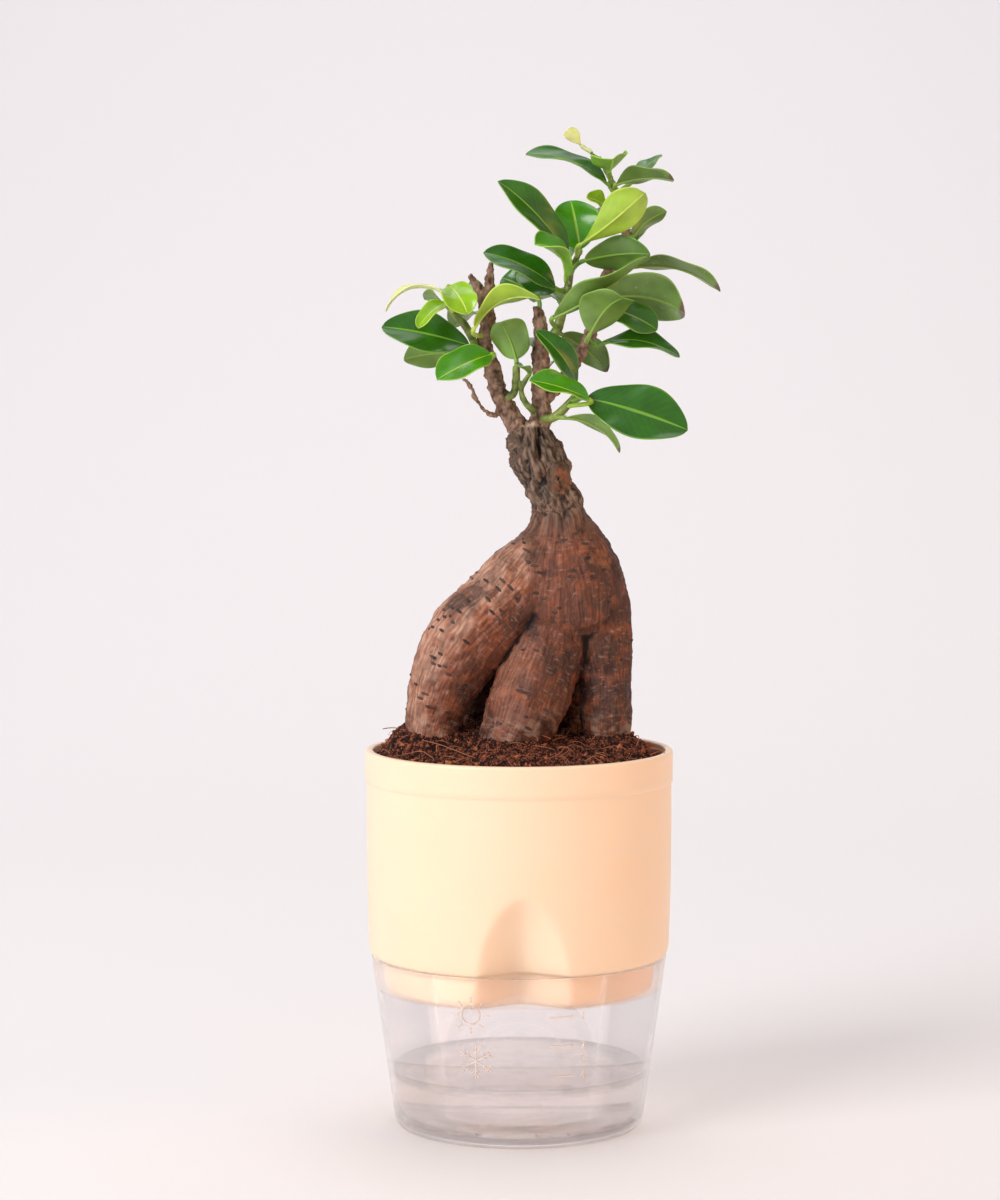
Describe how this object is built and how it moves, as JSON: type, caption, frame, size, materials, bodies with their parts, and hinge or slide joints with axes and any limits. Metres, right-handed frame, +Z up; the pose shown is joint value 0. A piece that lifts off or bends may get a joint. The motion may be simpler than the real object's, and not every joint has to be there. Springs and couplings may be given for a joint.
{
  "type": "bonsai tree in a pot",
  "caption": "Small grafted fig bonsai with swollen roots and a leafy crown, growing in peat in a cream self-watering pot with a clear water reservoir.",
  "frame": {"origin": "on the pot's axis, at the flat underside of the reservoir, where the part rests", "axes": "+Z up along the pot's axis, -Y towards the front, where the filling scoop is, and +X to the right"},
  "size_m": [0.1152, 0.1, 0.3233],
  "materials": {
    "clear_plastic": "clear moulded polystyrene, glossy",
    "water": "clear water",
    "cream_plastic": "moulded polypropylene, cream, satin",
    "coco_peat": "moist coco peat with coarse fibres, matte",
    "root_bark": "smooth brown root bark with dark dashes, satin",
    "twig_bark": "rough grey-brown bark, matte",
    "green_stem": "smooth young green stem, satin",
    "mature_leaf": "waxy leathery leaf, dark green above and paler below",
    "young_leaf": "waxy young leaf, yellow-green"
  },
  "bodies": {
    "root": {"reservoir": "clear_plastic", "water": "water", "planter": "cream_plastic", "soil": "coco_peat", "rootstock": "root_bark", "left_scion": "twig_bark", "centre_scion": "twig_bark", "right_branch": "twig_bark", "upper_shoot": "green_stem", "left_shoot": "green_stem", "stub_shoot": "green_stem", "fork_twig": "green_stem", "low_shoot": "green_stem", "leaf_01": "mature_leaf", "leaf_02": "mature_leaf", "leaf_03": "mature_leaf", "leaf_04": "young_leaf", "leaf_05": "young_leaf", "leaf_06": "young_leaf", "leaf_07": "mature_leaf", "leaf_08": "young_leaf", "leaf_09": "mature_leaf", "leaf_10": "mature_leaf", "leaf_11": "mature_leaf", "leaf_12": "mature_leaf", "leaf_13": "mature_leaf", "leaf_14": "mature_leaf", "leaf_15": "mature_leaf", "leaf_16": "young_leaf", "leaf_17": "mature_leaf", "leaf_18": "mature_leaf", "leaf_19": "young_leaf", "leaf_20": "young_leaf", "leaf_21": "mature_leaf", "leaf_22": "mature_leaf", "leaf_23": "mature_leaf", "leaf_24": "mature_leaf", "leaf_25": "mature_leaf", "leaf_26": "mature_leaf", "leaf_27": "mature_leaf", "leaf_28": "mature_leaf", "leaf_29": "mature_leaf", "leaf_30": "mature_leaf", "leaf_31": "mature_leaf", "leaf_32": "mature_leaf", "leaf_33": "mature_leaf", "leaf_34": "mature_leaf", "leaf_35": "mature_leaf", "leaf_36": "mature_leaf", "leaf_37": "mature_leaf", "leaf_38": "mature_leaf", "leaf_39": "mature_leaf", "leaf_40": "mature_leaf", "leaf_41": "mature_leaf", "leaf_42": "mature_leaf", "leaf_43": "mature_leaf", "leaf_44": "mature_leaf", "leaf_45": "mature_leaf", "leaf_46": "mature_leaf"}
  },
  "joints": []
}
